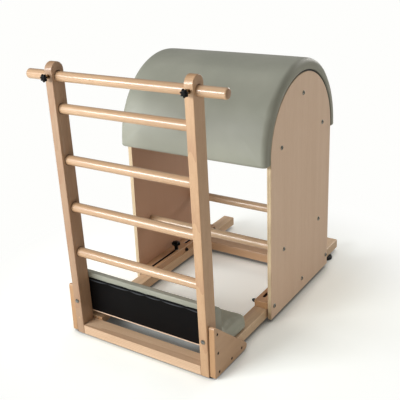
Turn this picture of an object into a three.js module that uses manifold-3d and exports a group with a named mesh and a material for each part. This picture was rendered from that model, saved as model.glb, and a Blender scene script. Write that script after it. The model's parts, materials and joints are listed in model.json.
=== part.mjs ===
// A ladder barrel: a leaning ladder with a padded foot rest, and a padded barrel on two slotted sliders.
// Sizes are in millimetres. X is the width, Y runs from the ladder back to the barrel, Z is up from the floor.
import * as THREE from "three";
import { mergeVertices } from "three/addons/utils/BufferGeometryUtils.js";
import Module from "manifold-3d";

const wasm = await Module();
wasm.setup();

// Clearances and edges that every piece shares
const seatGap = 0.3;
const cutOverrun = 5;
const weldDistance = 0.001;
const timberEdge = 3;
const timberChamfer = 1.2;

// Ladder: two stiles, four rungs and a front beam, all leaning forward together
const ladderLeanDegrees = 1.6;
const ladderAxisY = 37.2;
const stileOutsideWidth = 581.6;
const stileThickness = 32.3;
const stileDepth = 60;
const stileHeadHeight = 1042;
const stileEdge = 2.5;
const rungDiameter = 35;
const rungDropsBelowHead = [703.4, 524.7, 345.7, 160.8];
const rungTenon = 20;
const frontBeamHeight = 37;

// Top rail through both heads
const topRailDiameter = 35;
const topRailOverhang = 100.2;
const topRailDropBelowHead = 49;
const topRailEdge = 5;
const topRailClearance = 1.6;
const headClampRise = 4;

// Base rails and the beam that ties them
const railOverhang = 2.5;
const railWidth = 53.6;
const railHeight = 39.3;
const railUnderside = 13.3;
const railRearEnd = 1121.7;
const rearBeamFromEnd = 288.7;
const rearBeamWidth = 53.6;
const cornerBlockWidth = 21.6;
const cornerBlockHeight = 28;
const cornerBlockLength = 50;

// Gussets outside the ladder's foot, and the screw holes in them
const gussetThickness = 22;
const gussetFront = 9.5;
const gussetUnderside = 5;
const gussetHeight = 203;
const gussetDepth = 243;
const gussetHeadRadius = 7;
const gussetHeelRadius = 5;
const gussetToeRadius = 14;
const gussetEdge = 2;
const screwHoleDiameter = 8.4;
const screwHoleDepth = 10;
const screwHolePlaces = [
  { fromFront: 18.5, fromUnderside: 164 },
  { fromFront: 20.5, fromUnderside: 91 },
  { fromFront: 25.5, fromUnderside: 16 },
  { fromFront: 109.5, fromUnderside: 19 },
  { fromFront: 179.5, fromUnderside: 21 },
];

// Feet: thin pads under the ladder, round rubber feet under the rails
const frontFootHeight = 3.7;
const frontFootWidth = 52;
const frontFootLength = 50;
const frontFootCorner = 6;
const rearFootDiameter = 58;
const rearFootEdge = 4;
const rearFootInset = 14;
const rearFootFromEnd = 98.7;

// Foot pads: one upright behind the stiles, one flat on the rails
const footPadInset = 0.8;
const footPadThickness = 45;
const uprightPadCorner = 22;
const flatPadCorner = 30;
const footPadCrown = 4;
const footPadDrawIn = 2.5;
const footPadHem = 3;
const footBoardThickness = 12;
const footBoardInset = 7;
const uprightPadTop = 238;
const uprightPadUnderside = 77.6;
const uprightBoardUnderside = 71.4;
const uprightBoardTop = 216;
const uprightPadEdge = 24;
const backClothThickness = 1;
const backClothTop = 214;
const backClothCorner = 8;
const flatPadRear = 290;
const flatPadEdge = 11;
const flatPadLift = 4;
const padJoint = 1.6;

// Dome headed bolts through the stiles into the upright board
const padBoltHeight = 142;
const padBoltShankDiameter = 8;
const padBoltShankClearance = 0.4;
const padBoltHeadDiameter = 17;
const padBoltHeadHeight = 6;

// Barrel: arched panels, cross bars, backing shell and pad
const barrelCentreY = 688;
const panelToRail = 4.7;
const panelThickness = 17;
const panelLength = 529;
const panelUnderside = 13.8;
const archHeight = 644.5;
const panelEdge = 1.5;
const crossBarDiameter = 35;
const upperBarRing = 183;
const middleBarRing = 188;
const upperBarSideDegrees = 9;
const lowerBarHeight = 266;
const lowerBarSpacing = 321.5;
const shellThickness = 6;
const shellSkirt = 12;
const barrelPadThickness = 43;
const barrelPadCrown = 1.5;
const barrelPadEdge = 22;
const barrelPadEnd = 11;
const barrelPadOverhang = 2.5;
const barrelPadHem = 3;
const barrelPadSkirt = 16;

// Slider blocks along the panels, each with two slots
const sliderWidth = 56.6;
const sliderHeight = 26;
const sliderEndInset = 0.5;
const sliderCorner = 5;
const slotWidth = 11;
const slotFrontMargin = 36.5;
const slotBridge = 64;
const slotRearMargin = 41.5;
const slotFromPanel = 35.5;

// Star knobs, each with its washer and stud
const knobLobes = 7;
const headClamp = {
  starDiameter: 28.5,
  starThickness: 14,
  starEdge: 2,
  hubDiameter: 11,
  hubFlare: 15,
  hubLength: 10.5,
  capDiameter: 15,
  capHeight: 1.5,
  washerDiameter: 16,
  washerThickness: 1.6,
  studDiameter: 8,
  studSocket: 14,
};
const sliderClamp = {
  starDiameter: 39,
  starThickness: 15,
  starEdge: 2.5,
  hubDiameter: 16,
  hubFlare: 24,
  hubLength: 18,
  capDiameter: 20,
  capHeight: 2.5,
  washerDiameter: 22,
  washerThickness: 2,
  studDiameter: 10,
  studSocket: 22,
};
const studEdge = 1;
const studRunningGap = 0.4;
const sliderStudDepth = 28;
const sliderStudTravel = 2;

// Counts of faces round the curves
const roundSides = 24;
const smallSides = 16;
const archSteps = 20;
const lobeSteps = 4;
const cornerSteps = 4;
const roundingSteps = 2;
const edgeSteps = 2;
const headSteps = 6;
const sideSteps = 6;
const padRows = 34;

// Shares of a named size
const lobeValleyShare = 0.3;
const crownStepShares = [0.75, 0.5, 0.25];
const faceStepShares = [0.5, 0, -0.5];

const halfTurn = Math.PI;
const quarterTurn = Math.PI / 2;

// Places worked out from the sizes above
const ladderLean = THREE.MathUtils.degToRad(ladderLeanDegrees);
const topRailLength = stileOutsideWidth + 2 * topRailOverhang;
const railOutsideWidth = stileOutsideWidth + 2 * railOverhang;
const footPadWidth = stileOutsideWidth - 2 * footPadInset;
const panelInsideWidth = railOutsideWidth + 2 * panelToRail;
const panelOutsideWidth = panelInsideWidth + 2 * panelThickness;
const stileX = (stileOutsideWidth - stileThickness) / 2;
const stileInsideWidth = stileOutsideWidth - 2 * stileThickness;
const stileHeadCentre = stileHeadHeight - stileDepth / 2;
const stileFootRise = frontFootHeight + seatGap;
const rungHeights = rungDropsBelowHead.map((drop) => stileHeadHeight - drop);
const topRailHeight = stileHeadHeight - topRailDropBelowHead;
const topRailHoleHeight = topRailHeight + topRailClearance - seatGap;
const headClampHeight = topRailHeight + headClampRise;
const railX = (railOutsideWidth - railWidth) / 2;
const railInsideWidth = railOutsideWidth - 2 * railWidth;
const railTop = railUnderside + railHeight;
const railFront = ladderAxisY + stileDepth / 2 + seatGap;
const rearBeamFront = railRearEnd - rearBeamFromEnd;
const rearFootY = railRearEnd - rearFootFromEnd;
const panelX = (panelOutsideWidth - panelThickness) / 2;
const panelArchRadius = panelLength / 2;
const shellRadius = panelArchRadius + seatGap;
const padRadius = shellRadius + shellThickness + seatGap;
const sliderX = (panelInsideWidth - sliderWidth) / 2 - seatGap;
const sliderUnderside = railTop + seatGap;
const sliderLength = panelLength - 2 * sliderEndInset;
const sliderTop = sliderUnderside + sliderHeight;
const slotX = panelInsideWidth / 2 - slotFromPanel;
const slotEndRadius = slotWidth / 2;
const slotLength = (sliderLength - slotFrontMargin - slotBridge - slotRearMargin) / 2;
const slotStarts = [slotFrontMargin, slotFrontMargin + slotLength + slotBridge];
const clampStudY = barrelCentreY - sliderLength / 2 + slotFrontMargin + slotLength - slotEndRadius;

const finishes = {
  beech: { color: 0xd8b088, roughness: 0.45, metalness: 0 },
  beechRound: { color: 0xe0b890, roughness: 0.38, metalness: 0 },
  plywood: { color: 0xc8a27a, roughness: 0.5, metalness: 0 },
  vinyl: { color: 0x8d9182, roughness: 0.55, metalness: 0 },
  blackBoard: { color: 0x1c1c1c, roughness: 0.8, metalness: 0 },
  blackCloth: { color: 0x131314, roughness: 0.9, metalness: 0 },
  blackPlastic: { color: 0x121314, roughness: 0.35, metalness: 0 },
  rubber: { color: 0x171717, roughness: 0.8, metalness: 0 },
  steel: { color: 0xc4c6c8, roughness: 0.25, metalness: 1 },
};

function named(name, geometry, finish, x = 0, y = 0, z = 0) {
  const mesh = new THREE.Mesh(geometry, new THREE.MeshStandardMaterial(finishes[finish]));
  mesh.name = name;
  mesh.position.set(x, y, z);
  return mesh;
}

function solidOf(geometry) {
  const bare = geometry.clone();
  bare.deleteAttribute("normal");
  bare.deleteAttribute("uv");
  const merged = mergeVertices(bare, weldDistance);
  const vertProperties = merged.getAttribute("position").array;
  const triVerts = new Uint32Array(merged.index.array);
  return new wasm.Manifold(new wasm.Mesh({ numProp: 3, vertProperties, triVerts }));
}

function geometryOf(body) {
  const faceted = body.getMesh();
  const indexed = new THREE.BufferGeometry();
  indexed.setAttribute("position", new THREE.BufferAttribute(faceted.vertProperties, 3));
  indexed.setIndex(new THREE.BufferAttribute(faceted.triVerts, 1));
  const geometry = indexed.toNonIndexed();
  geometry.computeVertexNormals();
  return geometry;
}

function cut(geometry, cutters) {
  let body = solidOf(geometry);
  for (const cutter of cutters) body = body.subtract(solidOf(cutter));
  return geometryOf(body);
}

function join(geometries) {
  let body = solidOf(geometries[0]);
  for (const piece of geometries.slice(1)) body = body.add(solidOf(piece));
  return geometryOf(body);
}

// An outline drawn in Y and Z and pushed out along X, or drawn in Z and X and pushed out along Y.
function facingX(geometry) {
  const turn = new THREE.Matrix4();
  turn.makeBasis(new THREE.Vector3(0, 1, 0), new THREE.Vector3(0, 0, 1), new THREE.Vector3(1, 0, 0));
  return geometry.applyMatrix4(turn);
}

function facingY(geometry) {
  const turn = new THREE.Matrix4();
  turn.makeBasis(new THREE.Vector3(0, 0, 1), new THREE.Vector3(1, 0, 0), new THREE.Vector3(0, 1, 0));
  return geometry.applyMatrix4(turn);
}

// Pushes an outline out by a thickness about its middle, with its two rims eased by the same edge.
function board(outline, thickness, edge, curveSegments, bevelSegments = 1) {
  const depth = thickness - 2 * edge;
  const geometry = new THREE.ExtrudeGeometry(outline, {
    depth,
    curveSegments,
    bevelEnabled: true,
    bevelThickness: edge,
    bevelSize: edge,
    bevelOffset: -edge,
    bevelSegments,
  });
  return geometry.translate(0, 0, -depth / 2);
}

function roundedRectangle(width, height, radius) {
  const x = width / 2 - radius;
  const y = height / 2 - radius;
  const outline = new THREE.Shape();
  outline.absarc(x, -y, radius, -quarterTurn, 0);
  outline.absarc(x, y, radius, 0, quarterTurn);
  outline.absarc(-x, y, radius, quarterTurn, halfTurn);
  outline.absarc(-x, -y, radius, halfTurn, halfTurn + quarterTurn);
  return outline;
}

function timber(width, height, length) {
  return board(roundedRectangle(width, height, timberEdge), length, timberChamfer, 1);
}

// A round bar about Y with its end rims rounded.
function turnedBar(radius, length, edge, sides, steps = 1) {
  const profile = [new THREE.Vector2(0, -length / 2)];
  for (let step = 0; step <= steps; step++) {
    const angle = (quarterTurn * step) / steps;
    const across = radius - edge + edge * Math.sin(angle);
    profile.push(new THREE.Vector2(across, -length / 2 + edge - edge * Math.cos(angle)));
  }
  for (let step = 0; step <= steps; step++) {
    const angle = (quarterTurn * step) / steps;
    const across = radius - edge + edge * Math.cos(angle);
    profile.push(new THREE.Vector2(across, length / 2 - edge + edge * Math.sin(angle)));
  }
  profile.push(new THREE.Vector2(0, length / 2));
  return new THREE.LatheGeometry(profile, sides);
}

function alongX(geometry) {
  return geometry.rotateZ(-quarterTurn);
}

function alongZ(geometry) {
  return geometry.rotateX(quarterTurn);
}

// A plain round cutter about Y.
function drill(diameter, depth, sides = smallSides) {
  return new THREE.CylinderGeometry(diameter / 2, diameter / 2, depth, sides);
}

// The stiles' feet are sawn level with the floor: the cut's height along the stile at a place across it.
function levelCut(across) {
  return (stileFootRise - across * Math.sin(ladderLean)) / Math.cos(ladderLean);
}

function stile(side) {
  const half = stileDepth / 2;
  const outline = new THREE.Shape();
  outline.moveTo(-half, levelCut(-half));
  outline.lineTo(half, levelCut(half));
  outline.absarc(0, stileHeadCentre, half, 0, halfTurn);
  const blank = facingX(board(outline, stileThickness, stileEdge, headSteps, edgeSteps));
  const railHole = alongX(drill(topRailDiameter + 2 * topRailClearance, stileThickness * 2, roundSides));
  const studHole = drill(headClamp.studDiameter + 2 * studRunningGap, half + cutOverrun);
  const boltHole = drill(padBoltShankDiameter + 2 * padBoltShankClearance, stileDepth + 2 * cutOverrun);
  const cutters = [
    railHole.translate(0, 0, topRailHoleHeight),
    studHole.translate(0, -(half + cutOverrun) / 2, headClampHeight),
    boltHole.translate(0, 0, padBoltHeight),
  ];
  for (const height of rungHeights) {
    const socket = alongX(drill(rungDiameter + 2 * seatGap, rungTenon + cutOverrun, roundSides));
    const inset = stileThickness / 2 - (rungTenon - cutOverrun) / 2;
    cutters.push(socket.translate(-side * inset, 0, height));
  }
  return cut(blank, cutters);
}

function rung() {
  const length = stileInsideWidth + 2 * (rungTenon - seatGap);
  return alongX(turnedBar(rungDiameter / 2, length, timberEdge, roundSides));
}

function topRail() {
  return alongX(turnedBar(topRailDiameter / 2, topRailLength, topRailEdge, roundSides, cornerSteps));
}

// The front beam stands between the stiles, level underneath and as deep as they are.
function frontBeam() {
  const half = stileDepth / 2;
  const top = levelCut(0) + frontBeamHeight;
  const outline = new THREE.Shape();
  outline.moveTo(-half, levelCut(-half));
  outline.lineTo(half, levelCut(half));
  outline.lineTo(half, top);
  outline.lineTo(-half, top);
  return facingX(board(outline, stileInsideWidth - 2 * seatGap, timberChamfer, 1));
}

function padBolt() {
  const headRadius = padBoltHeadDiameter / 2;
  const shankRadius = padBoltShankDiameter / 2;
  const reach = stileDepth + backClothThickness + footBoardThickness;
  const profile = [new THREE.Vector2(0, 0)];
  for (let step = 1; step <= cornerSteps; step++) {
    const angle = (quarterTurn * step) / cornerSteps;
    const height = padBoltHeadHeight * (1 - Math.cos(angle));
    profile.push(new THREE.Vector2(headRadius * Math.sin(angle), height));
  }
  profile.push(new THREE.Vector2(shankRadius, padBoltHeadHeight));
  profile.push(new THREE.Vector2(shankRadius, padBoltHeadHeight + reach));
  profile.push(new THREE.Vector2(0, padBoltHeadHeight + reach));
  return new THREE.LatheGeometry(profile, smallSides);
}

function boltHolesIn(places) {
  const diameter = padBoltShankDiameter + 2 * padBoltShankClearance;
  return places.map((x) => alongZ(drill(diameter, footBoardThickness * 2)).translate(x, 0, 0));
}

// Closes a stack of rings, each with the same number of points, with a fan over its first and last ring.
function loft(rings) {
  const count = rings[0].length;
  const corners = [];
  const quad = (a, b, c, d) => corners.push(a, b, c, a, c, d);
  for (let row = 0; row + 1 < rings.length; row++) {
    for (let i = 0; i < count; i++) {
      const next = (i + 1) % count;
      quad(rings[row][i], rings[row][next], rings[row + 1][next], rings[row + 1][i]);
    }
  }
  const fan = (ring, reversed) => {
    const middle = new THREE.Vector3();
    for (const point of ring) middle.addScaledVector(point, 1 / count);
    for (let i = 0; i < count; i++) {
      const next = (i + 1) % count;
      corners.push(middle, ring[reversed ? next : i], ring[reversed ? i : next]);
    }
  };
  fan(rings[0], true);
  fan(rings[rings.length - 1], false);
  const geometry = new THREE.BufferGeometry().setFromPoints(corners);
  geometry.computeVertexNormals();
  return geometry;
}

// One level of a foot cushion: a rounded rectangle drawn in along its sides, inset by a distance.
function cushionRing(width, length, corner, inset, height, shrinkShare = 1) {
  const radius = corner - inset;
  const x = width / 2 - corner;
  const y = length / 2 - corner;
  const centres = [
    [x, -y, -quarterTurn],
    [x, y, 0],
    [-x, y, quarterTurn],
    [-x, -y, halfTurn],
  ];
  const ring = [];
  centres.forEach(([cornerX, cornerY, start], index) => {
    for (let step = 0; step <= cornerSteps; step++) {
      const angle = start + (quarterTurn * step) / cornerSteps;
      ring.push([cornerX + radius * Math.cos(angle), cornerY + radius * Math.sin(angle)]);
    }
    const [lastX, lastY] = ring[ring.length - 1];
    const [nextX, nextY, nextStart] = centres[(index + 1) % centres.length];
    const endX = nextX + radius * Math.cos(nextStart);
    const endY = nextY + radius * Math.sin(nextStart);
    for (let step = 1; step < sideSteps; step++) {
      const share = step / sideSteps;
      ring.push([lastX + (endX - lastX) * share, lastY + (endY - lastY) * share]);
    }
  });
  return ring.map(([pointX, pointY]) => {
    const pulledX = pointX * (1 - ((2 * footPadDrawIn) / width) * (1 - ((2 * pointY) / length) ** 2));
    const pulledY = pointY * (1 - ((2 * footPadDrawIn) / length) * (1 - ((2 * pointX) / width) ** 2));
    return new THREE.Vector3(pulledX * shrinkShare, pulledY * shrinkShare, height);
  });
}

// A foot cushion: a hem at its rim, straight sides, a rounded upper edge and a crowned face.
function footCushion(width, length, corner, thickness, edge) {
  const ring = (...places) => cushionRing(width, length, corner, ...places);
  const rings = [ring(footPadHem, 0), ring(0, footPadHem), ring(0, (footPadHem + thickness - edge) / 2)];
  const reach = Math.min(edge, corner);
  for (let step = 0; step <= cornerSteps; step++) {
    const angle = (quarterTurn * step) / cornerSteps;
    rings.push(ring(reach * (1 - Math.cos(angle)), thickness - edge + edge * Math.sin(angle)));
  }
  for (const share of crownStepShares) {
    rings.push(ring(reach, thickness + footPadCrown * (1 - share ** 2), share));
  }
  return loft(rings);
}

function uprightPad() {
  const group = new THREE.Group();
  const back = stileDepth / 2 + seatGap + backClothThickness + seatGap;
  const boardHeight = uprightBoardTop - uprightBoardUnderside;
  const boardMiddle = (uprightBoardTop + uprightBoardUnderside) / 2;
  const padHeight = uprightPadTop - uprightPadUnderside;
  const padMiddle = (uprightPadTop + uprightPadUnderside) / 2;
  const boardWidth = footPadWidth - 2 * footBoardInset;
  const places = [-stileX, stileX];
  const facing = -quarterTurn;

  const blank = board(roundedRectangle(boardWidth, boardHeight, timberEdge), footBoardThickness, panelEdge, 1);
  const drop = boardMiddle - padBoltHeight;
  const holes = boltHolesIn(places).map((hole) => hole.translate(0, drop, 0));
  const boardMesh = named("upright_pad_board", cut(blank, holes), "plywood");
  boardMesh.position.set(0, back + footBoardThickness / 2, boardMiddle);
  boardMesh.rotation.x = facing;

  const pocketWidth = boardWidth + 2 * seatGap;
  const pocketTop = uprightBoardTop + seatGap;
  const pocketHeight = pocketTop - uprightPadUnderside + cutOverrun;
  const pocketMiddle = pocketTop - pocketHeight / 2;
  const pocketDepth = footBoardThickness + seatGap + cutOverrun;
  const pocket = new THREE.BoxGeometry(pocketWidth, pocketHeight, pocketDepth);
  pocket.translate(0, padMiddle - pocketMiddle, pocketDepth / 2 - cutOverrun);
  const cushionDepth = footPadThickness + backClothThickness;
  const cushion = footCushion(footPadWidth, padHeight, uprightPadCorner, cushionDepth, uprightPadEdge);
  const cushionMesh = named("upright_pad_cushion", cut(cushion, [pocket]), "vinyl", 0, back, padMiddle);
  cushionMesh.rotation.x = facing;

  const clothHeight = backClothTop - uprightPadUnderside;
  const outline = roundedRectangle(boardWidth, clothHeight, backClothCorner);
  const size = { depth: backClothThickness, bevelEnabled: false, curveSegments: roundingSteps };
  const sheet = new THREE.ExtrudeGeometry(outline, size);
  const clothMiddle = (backClothTop + uprightPadUnderside) / 2;
  const clothHoles = boltHolesIn(places).map((hole) => hole.translate(0, clothMiddle - padBoltHeight, 0));
  const cloth = named("upright_pad_cloth", cut(sheet, clothHoles), "blackCloth");
  cloth.position.set(0, stileDepth / 2 + seatGap, clothMiddle);
  cloth.rotation.x = facing;

  group.add(boardMesh, cushionMesh, cloth);
  return group;
}

function flatPad() {
  const group = new THREE.Group();
  const uprightFront =
    ladderAxisY + stileDepth / 2 + 2 * (seatGap + backClothThickness) + footPadThickness + footPadCrown;
  const front = uprightFront + padJoint;
  const length = flatPadRear - front;
  const middle = (flatPadRear + front) / 2;
  const boardWidth = footPadWidth - 2 * footBoardInset;
  const boardLength = length - 2 * footBoardInset;
  const boardUnderside = railTop + seatGap;
  const outline = roundedRectangle(boardWidth, boardLength, flatPadCorner - footBoardInset);
  const blank = board(outline, footBoardThickness, panelEdge, roundingSteps);
  const boardMesh = named("flat_pad_board", blank, "blackBoard");
  boardMesh.position.set(0, middle, boardUnderside + footBoardThickness / 2);

  const pocketDepth = footBoardThickness - flatPadLift + seatGap + cutOverrun;
  const pocket = new THREE.BoxGeometry(boardWidth + 2 * seatGap, boardLength + 2 * seatGap, pocketDepth);
  pocket.translate(0, 0, pocketDepth / 2 - cutOverrun);
  const cushion = footCushion(footPadWidth, length, flatPadCorner, footPadThickness, flatPadEdge);
  const underside = boardUnderside + flatPadLift;
  group.add(boardMesh, named("flat_pad_cushion", cut(cushion, [pocket]), "vinyl", 0, middle, underside));
  return group;
}

function railBar(side) {
  const length = railRearEnd - railFront;
  const bar = facingY(timber(railHeight, railWidth, length));
  bar.translate(side * railX, railFront + length / 2, railUnderside + railHeight / 2);
  const depth = sliderStudDepth + sliderStudTravel + cutOverrun;
  const socket = alongZ(drill(sliderClamp.studDiameter + 2 * studRunningGap, depth));
  socket.translate(side * slotX, clampStudY, railTop + cutOverrun - depth / 2);
  return cut(bar, [socket]);
}

function rearBeam() {
  return facingX(timber(rearBeamWidth, railHeight, railInsideWidth - 2 * seatGap));
}

function cornerBlock() {
  return facingY(timber(cornerBlockHeight, cornerBlockWidth, cornerBlockLength));
}

// A corner of an outline rounded to a radius: the arc's centre lies on the bisector of the two sides.
function roundCorner(outline, before, corner, after, radius) {
  const incoming = corner.clone().sub(before).normalize();
  const outgoing = after.clone().sub(corner).normalize();
  const turn = Math.acos(THREE.MathUtils.clamp(incoming.dot(outgoing), -1, 1));
  const reach = radius * Math.tan(turn / 2);
  const start = corner.clone().addScaledVector(incoming, -reach);
  const centreX = start.x - incoming.y * radius;
  const centreY = start.y + incoming.x * radius;
  const startAngle = Math.atan2(start.y - centreY, start.x - centreX);
  outline.absarc(centreX, centreY, radius, startAngle, startAngle + turn);
}

function gusset(side) {
  const heel = new THREE.Vector2(0, 0);
  const toe = new THREE.Vector2(gussetDepth, 0);
  const head = new THREE.Vector2(0, gussetHeight);
  const outline = new THREE.Shape();
  roundCorner(outline, head, heel, toe, gussetHeelRadius);
  roundCorner(outline, heel, toe, head, gussetToeRadius);
  roundCorner(outline, toe, head, heel, gussetHeadRadius);
  const plate = facingX(board(outline, gussetThickness, gussetEdge, roundingSteps, edgeSteps));
  const cutters = screwHolePlaces.map(({ fromFront, fromUnderside }) => {
    const hole = alongX(drill(screwHoleDiameter, screwHoleDepth + cutOverrun));
    const across = gussetThickness / 2 - screwHoleDepth + (screwHoleDepth + cutOverrun) / 2;
    return hole.translate(side * across, fromFront, fromUnderside);
  });
  return cut(plate, cutters);
}

function frontFoot() {
  const outline = roundedRectangle(frontFootWidth, frontFootLength, frontFootCorner);
  const size = { depth: frontFootHeight, bevelEnabled: false, curveSegments: roundingSteps };
  return new THREE.ExtrudeGeometry(outline, size);
}

function rearFoot() {
  const height = railUnderside - seatGap;
  const foot = alongZ(turnedBar(rearFootDiameter / 2, height, rearFootEdge, roundSides, roundingSteps));
  return foot.translate(0, 0, height / 2);
}

function sidePanel() {
  const outline = new THREE.Shape();
  outline.moveTo(-panelArchRadius, panelUnderside);
  outline.lineTo(panelArchRadius, panelUnderside);
  outline.absarc(0, archHeight, panelArchRadius, 0, halfTurn);
  return facingX(board(outline, panelThickness, panelEdge, archSteps));
}

function crossBar() {
  return alongX(turnedBar(crossBarDiameter / 2, panelInsideWidth - 2 * seatGap, timberEdge, roundSides));
}

function backingShell() {
  const inner = shellRadius;
  const outer = shellRadius + shellThickness;
  const outline = new THREE.Shape();
  outline.moveTo(inner, archHeight - shellSkirt);
  outline.lineTo(outer, archHeight - shellSkirt);
  outline.absarc(0, archHeight, outer, 0, halfTurn);
  outline.lineTo(-outer, archHeight - shellSkirt);
  outline.lineTo(-inner, archHeight - shellSkirt);
  outline.absarc(0, archHeight, inner, halfTurn, 0, true);
  return facingX(board(outline, panelOutsideWidth - 2 * panelEdge, panelEdge, archSteps));
}

// One cross section of the barrel pad at a distance along the arch: flat inside, with rounded outer edges.
// Its sides stand out past the panels and draw in to the hem.
function padSection(travel, inset) {
  const thickness = barrelPadThickness - inset;
  const halfWidth = panelOutsideWidth / 2 + barrelPadOverhang - inset;
  const edge = Math.min(barrelPadEdge, thickness / 2);
  const points = [
    [-halfWidth, barrelPadHem],
    [-halfWidth + barrelPadHem, 0],
    [0, 0],
    [halfWidth - barrelPadHem, 0],
    [halfWidth, barrelPadHem],
  ];
  for (let step = 0; step <= cornerSteps; step++) {
    const angle = (quarterTurn * step) / cornerSteps;
    points.push([halfWidth - edge + edge * Math.cos(angle), thickness - edge + edge * Math.sin(angle)]);
  }
  for (const share of faceStepShares) points.push([(halfWidth - edge) * share, thickness]);
  for (let step = 0; step <= cornerSteps; step++) {
    const angle = quarterTurn + (quarterTurn * step) / cornerSteps;
    points.push([-halfWidth + edge + edge * Math.cos(angle), thickness - edge + edge * Math.sin(angle)]);
  }
  return points.map(([across, out]) => {
    const crown = barrelPadCrown * (out / barrelPadThickness) * (1 - (across / halfWidth) ** 2);
    return bentRound(across, travel, out + crown);
  });
}

// Wraps a flat place round the arch: straight below the arch's centre line, and circular above it.
function bentRound(across, travel, out) {
  const halfArc = (padRadius * halfTurn) / 2;
  const onArc = THREE.MathUtils.clamp(travel, -halfArc, halfArc);
  const angle = onArc / padRadius;
  const below = Math.abs(travel) - Math.abs(onArc);
  const reach = padRadius + out;
  return new THREE.Vector3(across, reach * Math.sin(angle), archHeight + reach * Math.cos(angle) - below);
}

function barrelPad() {
  const halfTravel = (padRadius * halfTurn) / 2 + barrelPadSkirt;
  const sections = [];
  for (let step = 0; step < cornerSteps; step++) {
    const angle = (quarterTurn * step) / cornerSteps;
    sections.push({
      travel: halfTravel - barrelPadEnd * Math.sin(angle),
      inset: barrelPadEnd * (1 - Math.sin(angle)) * Math.cos(angle),
    });
  }
  const flatTravel = halfTravel - barrelPadEnd;
  const middle = [];
  for (let row = 0; row <= padRows; row++) {
    middle.push({ travel: flatTravel * (1 - (2 * row) / padRows), inset: 0 });
  }
  const ends = sections.map(({ travel, inset }) => ({ travel: -travel, inset })).reverse();
  const rows = [...sections, ...middle, ...ends];
  return loft(rows.map(({ travel, inset }) => padSection(travel, inset)));
}

function slotOutline(start) {
  const near = start + slotEndRadius;
  const far = start + slotLength - slotEndRadius;
  const slot = new THREE.Path();
  slot.absarc(0, near, slotEndRadius, halfTurn, 2 * halfTurn);
  slot.absarc(0, far, slotEndRadius, 0, halfTurn);
  return slot;
}

function sliderBlock(side) {
  const outline = roundedRectangle(sliderWidth, sliderLength, sliderCorner);
  const slots = slotStarts.map((start) => {
    const across = side * (slotX - sliderX);
    const points = slotOutline(start - sliderLength / 2).getPoints(cornerSteps);
    return new THREE.Path(points.map((point) => new THREE.Vector2(point.x + across, point.y)));
  });
  outline.holes.push(...slots);
  return board(outline, sliderHeight, timberChamfer, roundingSteps);
}

// A star knob along Z from its washer: a flared hub, a lobed head and a low cap, with a socket for the stud.
function starKnob(size) {
  const outline = [];
  const count = knobLobes * lobeSteps;
  for (let i = 0; i < count; i++) {
    const turn = (2 * halfTurn * i) / count;
    const valley = (lobeValleyShare * (1 - Math.cos(knobLobes * turn))) / 2;
    const reach = (size.starDiameter / 2) * (1 - valley);
    outline.push(new THREE.Vector2(reach * Math.sin(turn), reach * Math.cos(turn)));
  }
  const star = board(new THREE.Shape(outline), size.starThickness, size.starEdge, 1);
  star.translate(0, 0, size.hubLength + size.starThickness / 2);
  const sunk = size.starThickness / 2;
  const hub = new THREE.CylinderGeometry(
    size.hubFlare / 2,
    size.hubDiameter / 2,
    size.hubLength + sunk,
    smallSides,
  );
  const top = size.hubLength + size.starThickness;
  const cap = new THREE.CylinderGeometry(
    size.capDiameter / 2 - size.capHeight,
    size.capDiameter / 2,
    size.capHeight + sunk,
    smallSides,
  );
  const body = join([
    star,
    alongZ(hub).translate(0, 0, (size.hubLength + sunk) / 2),
    alongZ(cap).translate(0, 0, top + (size.capHeight - sunk) / 2),
  ]);
  const socket = alongZ(drill(size.studDiameter + 2 * seatGap, size.studSocket + cutOverrun));
  return cut(body, [socket.translate(0, 0, (size.studSocket - cutOverrun) / 2)]);
}

function washer(size) {
  const inner = size.studDiameter / 2 + studRunningGap;
  const outer = size.washerDiameter / 2;
  const ring = [
    new THREE.Vector2(inner, 0),
    new THREE.Vector2(outer, 0),
    new THREE.Vector2(outer, size.washerThickness),
    new THREE.Vector2(inner, size.washerThickness),
    new THREE.Vector2(inner, 0),
  ];
  return alongZ(new THREE.LatheGeometry(ring, roundSides));
}

// A clamp on a face at the group's origin, its knob along +Z and its stud's tip at a depth below the face.
function clamp(name, size, tipDepth) {
  const group = new THREE.Group();
  const washerTop = seatGap + size.washerThickness;
  const knobFoot = washerTop + seatGap;
  const studTop = knobFoot + size.studSocket - seatGap;
  const studLength = studTop + tipDepth;
  const stud = alongZ(turnedBar(size.studDiameter / 2, studLength, studEdge, smallSides));
  group.add(
    named(`${name}_washer`, washer(size), "steel", 0, 0, seatGap),
    named(`${name}_stud`, stud, "steel", 0, 0, studTop - studLength / 2),
    named(`${name}_knob`, starKnob(size), "blackPlastic", 0, 0, knobFoot),
  );
  return group;
}

function ladder() {
  const group = new THREE.Group();
  for (const [side, word] of [[-1, "left"], [1, "right"]]) {
    group.add(named(`stile_${word}`, stile(side), "beech", side * stileX));
    const bolt = named(`pad_bolt_${word}`, padBolt(), "steel", side * stileX);
    bolt.position.y = -stileDepth / 2 - seatGap - padBoltHeadHeight;
    bolt.position.z = padBoltHeight;
    group.add(bolt);
    const knob = clamp(`head_clamp_${word}`, headClamp, (stileDepth - topRailDiameter) / 2 - seatGap);
    knob.position.set(side * stileX, -stileDepth / 2, headClampHeight);
    knob.rotation.x = quarterTurn;
    group.add(knob);
  }
  rungHeights.forEach((height, index) => {
    group.add(named(`rung_${index + 1}`, rung(), "beechRound", 0, 0, height));
  });
  group.add(named("top_rail", topRail(), "beechRound", 0, 0, topRailHeight));
  group.add(named("front_beam", frontBeam(), "beech"));
  group.add(uprightPad());
  group.position.y = ladderAxisY;
  group.rotation.x = ladderLean;
  return group;
}

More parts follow.
